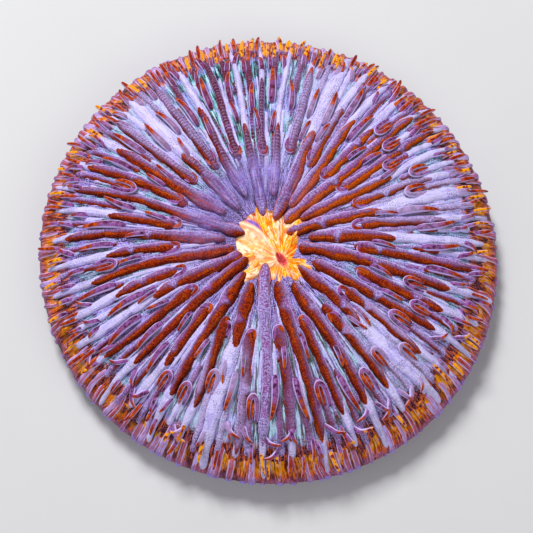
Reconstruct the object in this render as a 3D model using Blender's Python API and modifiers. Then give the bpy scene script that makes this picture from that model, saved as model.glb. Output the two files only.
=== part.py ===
# A mushroom coral: one free-living stony disc with radial ribs, a folded mouth and short tentacles.
import math
import random

import bmesh
import bpy
from mathutils import Matrix, Vector

MM = 0.001

# Driving dimensions of the disc, in millimetres
DISC_RADIUS = 49.0
CREST_HEIGHT = 19.6
FOOT_RADIUS = 28.0
MOUTH_RADIUS = 7.6

# Ribs: 48 of them, every second one a main rib that reaches the mouth
RIB_COUNT = 48
RIB_WIDTH = 2.6
RIB_LIFT = 1.75
RIB_SHARE_OF_PITCH = 0.58
MAIN_RIB_SHARE = 1.15  # of the pitch, near the mouth, where the main ribs stand alone
SECOND_RIB_SHARE = 0.3  # the same for the bare ground where the second ribs will start
MAIN_RIB_START = 0.13  # shares of the disc's radius
SECOND_RIB_START = 0.33
RIB_ONSET = 0.10  # the share over which a rib rises to its full height and width
RIM_SHARE = 0.85  # where the ribs begin to sink towards the rim
RIM_LIFT_LOSS = 0.45
THIRD_RIB_LIFT = 0.7  # of a full rib: the small ribs that stand in the furrows of the flank
THIRD_RIB_SPAN = (0.60, 0.72)
UNDERSIDE_LIFT = 0.3  # of a full rib: the faint ribs below the rim
FURROW_COLUMNS = (0.24, 0.5, 0.76)  # places of the vertices across a furrow
WIDE_RIB_FACTOR = 1.4
WIDE_RIBS = {2: 15.5, 10: 67.5, 18: 132.5, 34: 253.5, 42: 317.5}  # rib number: its bearing, degrees
COLUMNS_PER_RIB = 5
COLUMN_COUNT = RIB_COUNT * COLUMNS_PER_RIB

# Tentacles: a blunt finger in each furrow, lying outwards along it
TENTACLE_LENGTH = 6.4
TENTACLE_RADIUS = 1.3
TENTACLE_SHARE = 0.68
TENTACLE_LIFT = 1.8
TENTACLE_SIDES = 5
TENTACLE_RINGS = 4

# Mouth: a slit between two folded lips
SLIT_BEARING = 122.0
SLIT_STRETCH = 1.55
SLIT_PINCH = 0.32
LIP_FOLDS = 7
LIP_FOLD_HEIGHT = 0.45

SEED = 11


def disc_profile():
    """Radius and height of the ribless disc in millimetres, down its outside from the mouth to the foot."""
    r, h = DISC_RADIUS, CREST_HEIGHT
    return [
        (0.0, h * 0.85),
        (2.6, h * 0.955),
        (5.0, h * 1.01),
        (MOUTH_RADIUS, h * 0.94),
        (r * 0.225, h * 0.985),
        (r * 0.42, h * 0.975),
        (r * 0.62, h * 0.905),
        (r * 0.755, h * 0.80),
        (r * 0.86, h * 0.665),
        (r * 0.94, h * 0.495),
        (r * 0.992, h * 0.33),
        (r * 0.98, h * 0.215),
        (r * 0.78, h * 0.10),
        (FOOT_RADIUS, 0.0),
        (0.0, 0.0),
    ]


def smooth(low, high, value):
    t = min(max((value - low) / (high - low), 0.0), 1.0)
    return t * t * (3.0 - 2.0 * t)


def rib_bearings():
    """Bearing of each rib in degrees: the wide ribs stand where they are set, the rest fill in evenly."""
    anchors = sorted(WIDE_RIBS.items())
    anchors.append((anchors[0][0] + RIB_COUNT, anchors[0][1] + 360.0))
    bearings = [0.0] * RIB_COUNT
    for (first, start), (last, end) in zip(anchors, anchors[1:]):
        for number in range(first, last):
            bearings[number % RIB_COUNT] = start + (end - start) * (number - first) / (last - first)
    return bearings


def outline_factor(bearing):
    """The disc isn't quite round: it is a little longer towards its lower right."""
    angle = math.radians(bearing)
    lobe = 0.010 * math.cos(angle - math.radians(320.0))
    oval = 0.012 * math.cos(2.0 * (angle - math.radians(330.0)))
    return 1.0 + lobe + oval


def rib_half_angle(number, radius):
    """Half the width of a rib as an angle in degrees, at a radius in millimetres."""
    pitch = 2.0 * math.pi * radius / RIB_COUNT
    share = radius / DISC_RADIUS
    alone = MAIN_RIB_SHARE if number % 2 == 0 else SECOND_RIB_SHARE
    part = smooth(SECOND_RIB_START, SECOND_RIB_START + RIB_ONSET, share)
    width = min(RIB_WIDTH, (alone + (RIB_SHARE_OF_PITCH - alone) * part) * pitch)
    if number in WIDE_RIBS:
        width *= 1.0 + (WIDE_RIB_FACTOR - 1.0) * part
    return math.degrees(0.5 * width / max(radius, 1.0))


def column_bearing(column, radius, bearings):
    """Bearing of a column of vertices: two stand on each rib, and three in the furrow beside it."""
    number, place = divmod(column, COLUMNS_PER_RIB)
    start = bearings[number] + rib_half_angle(number, radius)
    if place == 0:
        return bearings[number] - rib_half_angle(number, radius)
    if place == 1:
        return start
    following = (number + 1) % RIB_COUNT
    end = bearings[following] - rib_half_angle(following, radius)
    gap = (end - start) % 360.0
    return start + gap * FURROW_COLUMNS[place - 2]


def rib_lift(column, share):
    """Height of the ribs above the furrows, in millimetres, for a column at a share of the disc's radius."""
    number, place = divmod(column, COLUMNS_PER_RIB)
    fade = 1.0 - RIM_LIFT_LOSS * smooth(RIM_SHARE, 1.0, share)
    if place < 2:
        inner = MAIN_RIB_START if number % 2 == 0 else SECOND_RIB_START
        return RIB_LIFT * fade * smooth(inner, inner + RIB_ONSET, share)
    if place == 3:
        return THIRD_RIB_LIFT * RIB_LIFT * fade * smooth(*THIRD_RIB_SPAN, share)
    return 0.0


def profile_normals(profile):
    """Outward direction, as radius and height, at each point of the profile."""
    normals = []
    for before, after in zip([profile[0]] + profile[:-1], profile[1:] + [profile[-1]]):
        along = Vector((after[0] - before[0], after[1] - before[1])).normalized()
        normals.append((-along.y, along.x))
    return normals


def mouth_point(radius, height, bearing):
    """A point of the mouth: the rings inside the lips narrow to a slit, and the lips are folded."""
    depth = smooth(MOUTH_RADIUS, 2.6, radius)
    turned = math.radians(bearing - SLIT_BEARING)
    along = radius * math.cos(turned) * (1.0 + (SLIT_STRETCH - 1.0) * depth)
    across = radius * math.sin(turned) * (1.0 + (SLIT_PINCH - 1.0) * depth)
    back = math.radians(SLIT_BEARING)
    x = along * math.cos(back) - across * math.sin(back)
    y = along * math.sin(back) + across * math.cos(back)
    fold = LIP_FOLD_HEIGHT * math.sin(LIP_FOLDS * turned) * smooth(0.0, 2.6, radius)
    return Vector((x, y, height + fold * smooth(MOUTH_RADIUS, 5.0, radius)))


def turned_disc(collection):
    """The ribless disc: its profile turned about the vertical axis, one step for each column."""
    profile = disc_profile()
    mesh = bpy.data.meshes.new("disc_profile")
    points = [(radius * MM, 0.0, height * MM) for radius, height in profile]
    mesh.from_pydata(points, [(i, i + 1) for i in range(len(points) - 1)], [])
    disc = bpy.data.objects.new("disc_profile", mesh)
    collection.objects.link(disc)
    screw = disc.modifiers.new("turn", "SCREW")
    screw.steps = COLUMN_COUNT
    screw.render_steps = COLUMN_COUNT
    screw.use_merge_vertices = True
    screw.merge_threshold = 0.00001
    graph = bpy.context.evaluated_depsgraph_get()
    turned = bpy.data.meshes.new_from_object(disc.evaluated_get(graph))
    bpy.data.objects.remove(disc)
    return turned


def raise_ribs(mesh, bearings):
    """Moves each vertex of the turned disc to its column's bearing, and lifts the ribs out of it."""
    profile = disc_profile()
    normals = profile_normals(profile)
    step = 360.0 / COLUMN_COUNT
    for vertex in mesh.vertices:
        x, y, z = (value / MM for value in vertex.co)
        radius = math.hypot(x, y)
        if radius < 0.01:
            continue
        column = round(math.degrees(math.atan2(y, x)) / step) % COLUMN_COUNT
        ring = min(
            range(len(profile)),
            key=lambda i: math.hypot(profile[i][0] - radius, profile[i][1] - z),
        )
        bearing = column_bearing(column, radius, bearings)
        if radius <= MOUTH_RADIUS + 0.01:
            vertex.co = mouth_point(radius, z, bearing) * MM
            continue
        underneath = z < 0.25 * CREST_HEIGHT
        lift = rib_lift(column, radius / DISC_RADIUS)
        if underneath:
            lift *= UNDERSIDE_LIFT if z > 0.01 else 0.0
        outward, upward = normals[ring]
        reach = (radius + lift * outward) * outline_factor(bearing)
        angle = math.radians(bearing)
        place = Vector((reach * math.cos(angle), reach * math.sin(angle), z + lift * upward))
        vertex.co = place * MM


def height_at(share):
    """Height of the furrows in millimetres, at a share of the disc's radius, on its upper side."""
    upper = [point for point in disc_profile() if point[1] > 0.3 * CREST_HEIGHT][3:]
    radius = share * DISC_RADIUS
    for (inner, high), (outer, low) in zip(upper, upper[1:]):
        if inner <= radius <= outer:
            return high + (low - high) * (radius - inner) / (outer - inner)
    return upper[-1][1]


def add_tentacle(bm, share, bearing, turn, size):
    """A blunt finger that lies on the disc: a sphere drawn out, and tapered towards its outer tip."""
    made = bmesh.ops.create_uvsphere(
        bm, u_segments=TENTACLE_SIDES, v_segments=TENTACLE_RINGS, radius=1.0
    )
    angle = math.radians(bearing)
    radius = share * DISC_RADIUS * outline_factor(bearing)
    slope = math.atan2(height_at(share + 0.05) - height_at(share - 0.05), 0.1 * DISC_RADIUS)
    height = height_at(share) + TENTACLE_LIFT
    place = Vector((radius * math.cos(angle), radius * math.sin(angle), height))
    lie = (
        Matrix.Rotation(angle, 3, "Z")
        @ Matrix.Rotation(-slope, 3, "Y")
        @ Matrix.Rotation(math.radians(turn), 3, "Z")
        @ Matrix.Rotation(math.radians(90.0), 3, "Y")
    )
    for vertex in made["verts"]:
        taper = 1.0 - 0.28 * vertex.co.z
        girth = TENTACLE_RADIUS * size * taper
        drawn = Vector((
            vertex.co.x * girth,
            vertex.co.y * girth,
            vertex.co.z * 0.5 * TENTACLE_LENGTH * size,
        ))
        vertex.co = (place + lie @ drawn) * MM


def tentacles(collection, bearings):
    """All the tentacles in one mesh, for the union with the disc."""
    chance = random.Random(SEED)
    bm = bmesh.new()
    for number in range(RIB_COUNT):
        following = bearings[(number + 1) % RIB_COUNT]
        middle = bearings[number] + 0.5 * ((following - bearings[number]) % 360.0)
        share = TENTACLE_SHARE + chance.uniform(-0.03, 0.03)
        add_tentacle(bm, share, middle, chance.uniform(-14.0, 14.0), chance.uniform(0.85, 1.05))
    mesh = bpy.data.meshes.new("tentacles")
    bm.to_mesh(mesh)
    bm.free()
    joined = bpy.data.objects.new("tentacles", mesh)
    joined.hide_render = True
    joined.display_type = "WIRE"
    collection.objects.link(joined)
    return joined


def coral_material():
    """Living tissue over limestone: mauve, with a damp gloss."""
    material = bpy.data.materials.new("coral_tissue")
    material.use_nodes = True
    shader = material.node_tree.nodes["Principled BSDF"]
    shader.inputs["Base Color"].default_value = (0.34, 0.17, 0.36, 1.0)
    shader.inputs["Roughness"].default_value = 0.42
    shader.inputs["Metallic"].default_value = 0.0
    return material


def middle_of(mesh):
    """The middle of the mesh's outline, seen from above."""
    xs = [vertex.co.x for vertex in mesh.vertices]
    ys = [vertex.co.y for vertex in mesh.vertices]
    return Vector((0.5 * (min(xs) + max(xs)), 0.5 * (min(ys) + max(ys)), 0.0))


def collection_named(name):
    made = bpy.data.collections.new(name)
    bpy.context.scene.collection.children.link(made)
    return made


def main():
    for old in list(bpy.data.objects):
        bpy.data.objects.remove(old)
    parts = collection_named("mushroom_coral")
    helpers = collection_named("joined_shapes")
    bearings = rib_bearings()

    mesh = turned_disc(helpers)
    raise_ribs(mesh, bearings)
    mesh.name = "coral"
    coral = bpy.data.objects.new("coral", mesh)
    parts.objects.link(coral)
    mesh.materials.clear()
    mesh.materials.append(coral_material())

    fingers = tentacles(helpers, bearings)
    coral.location = -middle_of(mesh)
    fingers.location = coral.location

    union = coral.modifiers.new("tentacles", "BOOLEAN")
    union.operation = "UNION"
    union.solver = "EXACT"
    union.object = fingers
    mesh.shade_smooth()


main()
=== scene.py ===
import math
import random

import bpy
import numpy as np
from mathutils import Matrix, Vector


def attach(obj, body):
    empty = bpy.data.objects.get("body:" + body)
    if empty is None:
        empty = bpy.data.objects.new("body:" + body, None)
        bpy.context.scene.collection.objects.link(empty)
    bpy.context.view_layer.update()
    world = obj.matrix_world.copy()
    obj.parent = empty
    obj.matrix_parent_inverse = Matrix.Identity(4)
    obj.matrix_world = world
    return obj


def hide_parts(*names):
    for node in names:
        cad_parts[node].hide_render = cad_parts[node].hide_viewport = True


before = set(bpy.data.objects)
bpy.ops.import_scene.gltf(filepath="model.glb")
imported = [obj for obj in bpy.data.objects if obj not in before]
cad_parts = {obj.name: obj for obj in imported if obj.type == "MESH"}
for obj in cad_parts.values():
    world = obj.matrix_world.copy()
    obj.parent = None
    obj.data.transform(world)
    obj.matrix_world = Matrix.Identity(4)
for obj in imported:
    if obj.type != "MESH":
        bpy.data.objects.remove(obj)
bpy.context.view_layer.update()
mm = 0.001

# The disc's own form and rib layout, as the solid has them; lengths in millimetres, bearings in degrees
disc = {
    "radius": 49.0,
    "crestHeight": 19.6,
    "footRadius": 28.0,
    "mouthRadius": 7.6,
    "ribCount": 48,
    "wideRibs": {2: 15.5, 10: 67.5, 18: 132.5, 34: 253.5, 42: 317.5},
    "wideFactor": 1.4,
    "centre": (-0.43, 0.31),
}
chance = random.Random(7)


def rise(low, high, value):
    # 0 below low, 1 above high, and smooth between them
    t = np.clip((np.asarray(value, float) - low) / (high - low), 0.0, 1.0)
    return t * t * (3.0 - 2.0 * t)


def fall(low, high, value):
    return 1 - rise(low, high, value)


def curveThrough(points, steps):
    # a smooth curve through the points, steps to each span
    p = np.asarray(points, float)
    p = np.vstack([2 * p[0] - p[1], p, 2 * p[-1] - p[-2]])
    made = []
    for a, b, c, d in zip(p[:-3], p[1:-2], p[2:-1], p[3:]):
        t = np.linspace(0.0, 1.0, steps, endpoint=False)[:, None]
        made.append(0.5 * (2 * b + (c - a) * t + (2 * a - 5 * b + 4 * c - d) * t ** 2
                           + (3 * b - a - 3 * c + d) * t ** 3))
    made.append(p[-2][None])
    return np.vstack(made)


def discProfile():
    # radius and height down the outside of the disc, from the mouth's rim to the foot
    r, h = disc["radius"], disc["crestHeight"]
    points = [
        (0.0, h * 0.90), (disc["mouthRadius"], h * 0.94), (r * 0.225, h * 0.985),
        (r * 0.42, h * 0.975), (r * 0.62, h * 0.905), (r * 0.755, h * 0.80),
        (r * 0.86, h * 0.665), (r * 0.94, h * 0.495), (r * 0.992, h * 0.33),
        (r * 0.98, h * 0.215), (r * 0.78, h * 0.10), (disc["footRadius"], 0.0),
    ]
    return curveThrough(points, 24)


profile = discProfile()
profileStep = np.hypot(*np.diff(profile, axis=0).T)
profileRun = np.concatenate([[0.0], np.cumsum(profileStep)])  # distance down the profile
profileSlope = np.gradient(profile, profileRun, axis=0)
widest = int(profile[:, 0].argmax())
rimRun, footRun = profileRun[widest], profileRun[-1]


def runAt(share):
    # distance down the profile at a share of the disc's radius, on its upper side
    return np.interp(np.asarray(share) * disc["radius"], profile[:widest + 1, 0], profileRun[:widest + 1])


def shareAt(run):
    # share of the radius down to the rim, and past 1 beneath it
    run = np.asarray(run, float)
    upper = np.interp(run, profileRun[:widest + 1], profile[:widest + 1, 0]) / disc["radius"]
    return np.where(run > rimRun, 0.992 + (run - rimRun) / disc["radius"], upper)


def outlineFactor(bearing):
    angle = np.radians(bearing)
    return (1.0 + 0.010 * np.cos(angle - math.radians(320.0))
            + 0.012 * np.cos(2.0 * (angle - math.radians(330.0))))


def circle(count, whole=2 * math.pi):
    # angles spaced evenly all the way round
    return np.linspace(0.0, whole, count, endpoint=False)


def onDisc(run, bearing):
    # place, outward, sideways and normal directions on the disc, in millimetres
    run, bearing = np.broadcast_arrays(np.asarray(run, float), np.asarray(bearing, float))
    r = np.interp(run, profileRun, profile[:, 0]) * outlineFactor(bearing)
    z = np.interp(run, profileRun, profile[:, 1])
    dr = np.interp(run, profileRun, profileSlope[:, 0])
    dz = np.interp(run, profileRun, profileSlope[:, 1])
    length = np.hypot(dr, dz)
    dr, dz = dr / length, dz / length
    c, s = np.cos(np.radians(bearing)), np.sin(np.radians(bearing))
    place = np.stack([r * c + disc["centre"][0], r * s + disc["centre"][1], z], -1)
    outward = np.stack([dr * c, dr * s, dz], -1)
    sideways = np.stack([-s, c, np.zeros_like(c)], -1)
    normal = np.stack([-dz * c, -dz * s, dr], -1)
    return place, outward, sideways, normal


def ribBearings():
    count = disc["ribCount"]
    anchors = sorted(disc["wideRibs"].items())
    anchors.append((anchors[0][0] + count, anchors[0][1] + 360.0))
    found = [0.0] * count
    for (first, start), (last, end) in zip(anchors, anchors[1:]):
        for number in range(first, last):
            found[number % count] = start + (end - start) * (number - first) / (last - first)
    return found


def latticeNoise(points, cell, seed):
    # smooth noise from 0 to 1, cell millimetres to a lump
    p = np.asarray(points, float) / cell
    base = np.floor(p).astype(np.int64)
    f = p - base
    f = f * f * (3.0 - 2.0 * f)
    total = np.zeros(p.shape[:-1])
    for corner in range(8):
        step = np.array([corner & 1, corner >> 1 & 1, corner >> 2 & 1])
        q = base + step
        mixed = (q[..., 0] * 73856093) ^ (q[..., 1] * 19349663) ^ (q[..., 2] * 83492791)
        mixed = mixed ^ (seed * 2654435)
        mixed = (mixed ^ (mixed >> 13)) * 1274126177 & 0xFFFFFFFF
        value = (mixed ^ (mixed >> 16)) % 65536 / 65535.0
        total += value * np.prod(np.where(step == 1, f, 1.0 - f), axis=-1)
    return total


def stretched(run, bearing, alongSize, sideSize, seed):
    # noise drawn out down the disc's side, with lumps of these sizes in millimetres
    turn, size = np.radians(bearing), disc["radius"] / sideSize
    parts = np.broadcast_arrays(np.cos(turn) * size, np.sin(turn) * size, np.asarray(run) / alongSize)
    return latticeNoise(np.stack(parts, -1), 1.0, seed)


def apart(bearing, centre):
    # signed angle from a bearing, in degrees
    return (np.asarray(bearing, float) - centre + 180.0) % 360.0 - 180.0


def bell(bearing, centre, spread):
    return np.exp(-0.5 * (apart(bearing, centre) / spread) ** 2)


def regions(bearing, share):
    # how much of each local tint there is: white on the wide ribs, green at the top, a dull film above and
    # left of the mouth, amber at the right and olive at the bottom
    white = sum(bell(bearing, centre, 6.5) for centre in disc["wideRibs"].values())
    white = np.clip(white, 0, 1) * rise(0.40, 0.56, share) * fall(0.84, 0.92, share)
    green = bell(bearing, 107.0, 24.0) * rise(0.28, 0.40, share)
    film = np.clip(bell(bearing, 112.0, 26.0) * 1.15 + bell(bearing, 168.0, 11.0) * 0.6, 0, 1)
    film = film * rise(0.13, 0.2, share) * fall(0.28, 0.42, share)
    amber = bell(bearing, 45.0, 22.0)
    olive = bell(bearing, 272.0, 30.0) * rise(0.3, 0.42, share) * fall(0.78, 0.88, share)
    return {"white": white, "green": green, "film": film, "amber": amber, "olive": olive}


class Skin:
    # gathers rings of points and their values, and makes one mesh of them

    def __init__(self):
        self.points, self.faces, self.values, self.count = [], [], {}, 0

    def add(self, points, values, caps=False):
        rows, columns = points.shape[:2]
        index = np.arange(rows * columns).reshape(rows, columns) + self.count
        across = np.concatenate([index, index[:, :1]], axis=1)
        quads = np.stack([across[:-1, :-1], across[:-1, 1:], across[1:, 1:], across[1:, :-1]], -1)
        self.faces.extend(quads.reshape(-1, 4).tolist())
        if caps:
            self.faces.append(index[0, ::-1].tolist())
            self.faces.append(index[-1].tolist())
        self.points.append(points.reshape(-1, 3))
        for name, value in values.items():
            full = np.broadcast_to(value, (rows, columns)).reshape(-1)
            self.values.setdefault(name, []).append(full)
        self.count += rows * columns

    def make(self, name, material):
        mesh = bpy.data.meshes.new(name)
        mesh.from_pydata((np.vstack(self.points) * mm).tolist(), [], self.faces)
        for key, parts in self.values.items():
            made = mesh.attributes.new(key, "FLOAT", "POINT")
            made.data.foreach_set("value", np.concatenate(parts).astype(np.float32))
        mesh.materials.append(material)
        mesh.shade_smooth()
        piece = bpy.data.objects.new(name, mesh)
        bpy.context.scene.collection.objects.link(piece)
        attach(piece, "root")
        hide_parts("coral")
        print("made", name, len(self.faces), "faces")


# Shader graph
class Wire:
    # one output of a node: sums on wires add Math nodes

    def __init__(self, paint, socket):
        self.paint, self.socket = paint, socket

    def __add__(self, other):
        return self.paint.sum("ADD", self, other)

    def __sub__(self, other):
        return self.paint.sum("SUBTRACT", self, other)

    def __rsub__(self, other):
        return self.paint.sum("SUBTRACT", other, self)

    def __mul__(self, other):
        return self.paint.sum("MULTIPLY", self, other)

    __radd__ = __add__
    __rmul__ = __mul__


class Paint:
    # a material's node tree

    def __init__(self, name):
        self.material = bpy.data.materials.new(name)
        self.material.use_nodes = True
        self.tree = self.material.node_tree
        self.tree.nodes.clear()
        place = self.node("TexCoord", {}, {}, "Object")
        self.place = self.node("VectorMath", {"operation": "SCALE"}, {0: place, "Scale": 1 / mm})

    def node(self, kind, settings, sockets, output=0):
        # sockets hold wires, which are linked, or plain values
        made = self.tree.nodes.new("ShaderNode" + kind)
        for key, value in settings.items():
            setattr(made, key, value)
        for key, value in sockets.items():
            if isinstance(value, Wire):
                self.tree.links.new(value.socket, made.inputs[key])
            else:
                made.inputs[key].default_value = value
        return Wire(self, made.outputs[output]) if made.outputs else None

    def sum(self, operation, *values):
        return self.node("Math", {"operation": operation}, dict(enumerate(values)))

    def value(self, name):
        return self.node("Attribute", {"attribute_name": name}, {}, "Fac")

    def values(self, *names):
        return [self.value(name) for name in names]

    def noise(self, size, detail=2.0, place=None):
        # size is that of one lump, in millimetres
        return self.node("TexNoise", {}, {"Vector": place or self.place, "Scale": 1 / size,
                                          "Detail": detail}, "Fac")

    def rise(self, value, low, high):
        return self.node("MapRange", {"interpolation_type": "SMOOTHSTEP"},
                         {"Value": value, "From Min": low, "From Max": high})

    def fall(self, value, low, high):
        return 1 - self.rise(value, low, high)

    def mix(self, share, first, second):
        # a plain tone is given by its name
        first, second = (tones[part] if isinstance(part, str) else part for part in (first, second))
        return self.node("Mix", {"data_type": "RGBA"}, {0: share, 6: first, 7: second}, 2)

    def lay(self, under, over, value, low, high, amount=None):
        # one colour over another where the value climbs past low to high, or drops to it if high is less
        share = self.rise(value, low, high) if low < high else self.fall(value, high, low)
        return self.mix(share if amount is None else share * amount, under, over)

    def bump(self, height, depth, strength):
        return self.node("Bump", {}, {"Height": height, "Distance": depth * mm, "Strength": strength})

    def finish(self, colour, roughness, normal, coat, glow=0.0):
        sockets = {"Base Color": colour, "Roughness": roughness, "Normal": normal, "Coat Weight": coat,
                   "Coat Roughness": 0.2, "IOR": 1.33, "Specular IOR Level": 0.1}
        # painted glow: each skin also emits its own base colour, a light of its own that no lamp gives
        if glow:
            sockets.update({"Emission Color": colour, "Emission Strength": glow})
        self.node("OutputMaterial", {}, {"Surface": self.node("BsdfPrincipled", {}, sockets)})
        return self.material


def tone(red, green, blue):
    # a screen colour, 0 to 255, as a linear one with full alpha
    found = [c / 255.0 for c in (red, green, blue)]
    return tuple(c / 12.92 if c <= 0.04045 else ((c + 0.055) / 1.055) ** 2.4 for c in found) + (1.0,)


tones = {
    "mauve": tone(152, 92, 162), "mauveDeep": tone(70, 20, 58), "mauveLight": tone(188, 172, 246),
    "pale": tone(216, 208, 255), "paleMauve": tone(164, 146, 246), "lightEdge": tone(216, 196, 255),
    "rose": tone(186, 112, 150), "film": tone(128, 116, 176), "beadBlue": tone(150, 140, 236),
    "maroon": tone(112, 30, 48), "umber": tone(100, 30, 30), "ink": tone(30, 14, 28),
    "rust": tone(166, 48, 4), "rustMid": tone(116, 24, 4), "rustDeep": tone(66, 10, 6),
    "orange": tone(224, 100, 0), "gold": tone(240, 158, 6),
    "teal": tone(104, 190, 204), "green": tone(18, 100, 72), "ice": tone(196, 228, 248),
    "olive": tone(84, 70, 36), "bone": tone(206, 190, 186), "boneDark": tone(140, 112, 116),
    "cream": tone(255, 226, 196), "yellow": tone(255, 186, 30), "amber": tone(244, 142, 14),
    "pink": tone(240, 120, 136), "peach": tone(250, 170, 104), "paintedShadeLilac": tone(110, 74, 190),
    "floorDark": tone(214, 214, 216), "floorLight": tone(222, 222, 224),
}


def fineSkin(paint, along=None):
    # fine grain, lumps and their relief, with ridges across a rib where its length is given
    grain = paint.noise(0.32)
    lumps = paint.noise(0.9)
    height = 0.55 * grain + 0.45 * lumps
    if along:
        ridges = paint.sum("SINE", along * (2 * math.pi / 0.75) + lumps * 2.2)
        height = height + 0.05 * ridges
    return grain, lumps, height


def streaks(paint, alongSize, sideSize):
    # noise drawn out along a rib or across it, by its own coordinates
    place = paint.node("CombineXYZ", {}, {"X": paint.value("along") * (1 / alongSize),
                                          "Y": paint.value("across") * (1 / sideSize),
                                          "Z": paint.value("tint") * 37.0})
    return paint.noise(1.0, place=place)


def speckled(paint, colour, amount):
    # small dark dots on the surface's own coordinates
    place = paint.node("CombineXYZ", {}, {"X": paint.value("along") * 2.9 + paint.value("tint") * 53.0,
                                          "Y": paint.value("across") * 3.6, "Z": 0.0})
    near = paint.node("TexVoronoi", {"voronoi_dimensions": "2D"},
                      {"Vector": place, "Scale": 1.0, "Randomness": 0.7}, "Distance")
    return paint.lay(colour, "mauveDeep", near, 0.36, 0.18, amount)


def ribPaint():
    paint = Paint("ribSkin")
    crest, side, pale, along, across = paint.values("crest", "side", "pale", "along", "across")
    white, film, amber, green, olive = paint.values("white", "film", "amber", "green", "olive")
    _, lumps, height = fineSkin(paint, along)
    cross, lengthwise = streaks(paint, 0.34, 0.5), streaks(paint, 4.0, 0.3)
    patch, salt = paint.noise(3.0, 3.0), paint.noise(0.22, 1.0)
    mauve = paint.lay("mauve", "mauveLight", cross + (patch - 0.5), 0.4, 0.62)
    mauve = paint.lay(mauve, "mauveDeep", lengthwise, 0.5, 0.68, 0.55)
    mauve = paint.mix(white * 0.68, mauve, "pale")
    # painted highlight: the side away from the red, which faces the key light, is lightened to mauveLight
    upper = paint.rise(0 - side, 0.1, 0.75) * (1 - film)
    mauve = paint.mix(upper * 0.8, mauve, "mauveLight")
    mauve = paint.mix(green * (1 - white) * paint.rise(patch, 0.24, 0.44), mauve, "umber")
    bow = across * across
    wave = lumps * 5.0 + patch * 8.0 + bow * 2.4
    ring = paint.sum("SINE", along * (2 * math.pi / 0.74) + wave)
    mauve = paint.lay(mauve, "mauveDeep", ring, 0.0, 0.8, 0.12 + green * 0.55)
    mauve = paint.lay(mauve, "mauveLight", 0 - ring, 0.3, 1.0, 0.08 + green * 0.2)
    mauve = speckled(paint, mauve, paint.rise(patch, 0.4, 0.55) * 0.8)
    mauve = paint.lay(mauve, "lightEdge", salt, 0.56, 0.64, 0.5 - green * 0.3)
    mauve = paint.lay(mauve, "mauveDeep", salt, 0.44, 0.36, 0.5)
    # painted highlight: a thin light line along both edges of each rib, orange near the mouth
    flank = paint.sum("ABSOLUTE", across)
    paintedEdgeLight = paint.rise(flank, 0.66, 0.76) * paint.fall(flank, 0.84, 0.92)
    inmost = paint.fall(paint.value("share"), 0.2, 0.28)
    mauve = paint.mix(paintedEdgeLight * 0.8, mauve, paint.mix(inmost * 0.85, "lightEdge", "orange"))
    rust = paint.lay("rustMid", "rust", cross + (lumps - 0.5) * 0.5, 0.4, 0.6)
    rust = paint.lay(rust, "orange", lengthwise, 0.5, 0.66, 0.5)
    rust = paint.mix(amber * 0.7, rust, "orange")
    rust = paint.mix(olive * 0.4, rust, "umber")
    rust = paint.lay(rust, "rustDeep", salt, 0.5, 0.38, 0.6)
    rust = paint.lay(rust, "orange", salt, 0.58, 0.64, 0.3)
    # painted shade: the red darkens toward the rib's foot on its red side
    rust = paint.lay(rust, "rustDeep", side, 0.65, 1.15, 0.55)
    ragged = (patch - 0.5) * 1.1 + (cross - 0.5) * 0.6 + (salt - 0.5) * 0.8
    reach = side + ragged - (1 - paint.value("rustAmount")) * 1.3 - white * 0.6
    blush = paint.rise(reach, -0.7, -0.1)
    colour = paint.mix(blush * 0.55, mauve, "maroon")
    colour = paint.lay(colour, "rustDeep", reach, -0.2, 0.0, 0.6)
    colour = paint.lay(colour, rust, reach, -0.04, 0.16)
    colour = paint.mix(paint.value("lobe") * (1 - paintedEdgeLight * 0.7), colour, rust)
    ribbon = paint.lay("pale", "paleMauve", lengthwise, 0.5, 0.66, 0.5)
    ribbon = paint.lay(ribbon, "mauve", lumps, 0.52, 0.74, 0.12)
    # painted highlight: the pale ribbons turn icy on their lit side
    ribbon = paint.mix(upper * 0.25, ribbon, "ice")
    ribbon = speckled(paint, ribbon, paint.rise(patch, 0.48, 0.6) * 0.6)
    ribbon = paint.lay(ribbon, "mauve", salt, 0.42, 0.36, 0.2)
    paleMask = paint.rise(pale + (lumps - 0.5) * 0.3, 0.4, 0.6)
    colour = paint.mix(paleMask, colour, ribbon)
    haze = paint.lay("film", "paleMauve", lengthwise + (patch - 0.5), 0.35, 0.7)
    haze = paint.lay(haze, "mauve", cross + (lumps - 0.5), 0.46, 0.66, 0.6)
    haze = paint.lay(haze, "mauveDeep", lengthwise, 0.52, 0.6, 0.6)
    haze = paint.lay(haze, "pale", lengthwise, 0.44, 0.36, 0.5)
    colour = paint.mix(film * 0.85, colour, haze)
    shade = paint.fall(crest, 0.3, 0.62) * (0.5 + paint.rise(side, -0.3, 0.2) * 0.5)
    shade = shade * (1 - film * 0.4)
    verge = green * 0.8 + olive * 0.4
    colour = paint.mix(shade, colour, paint.mix(verge, "ink", "green"))
    normal = paint.bump(height + 0.3 * lengthwise + 0.03 * ring, 0.36, 1.0)
    return paint.finish(colour, 0.5, normal, coat=0.04, glow=0.05)


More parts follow.
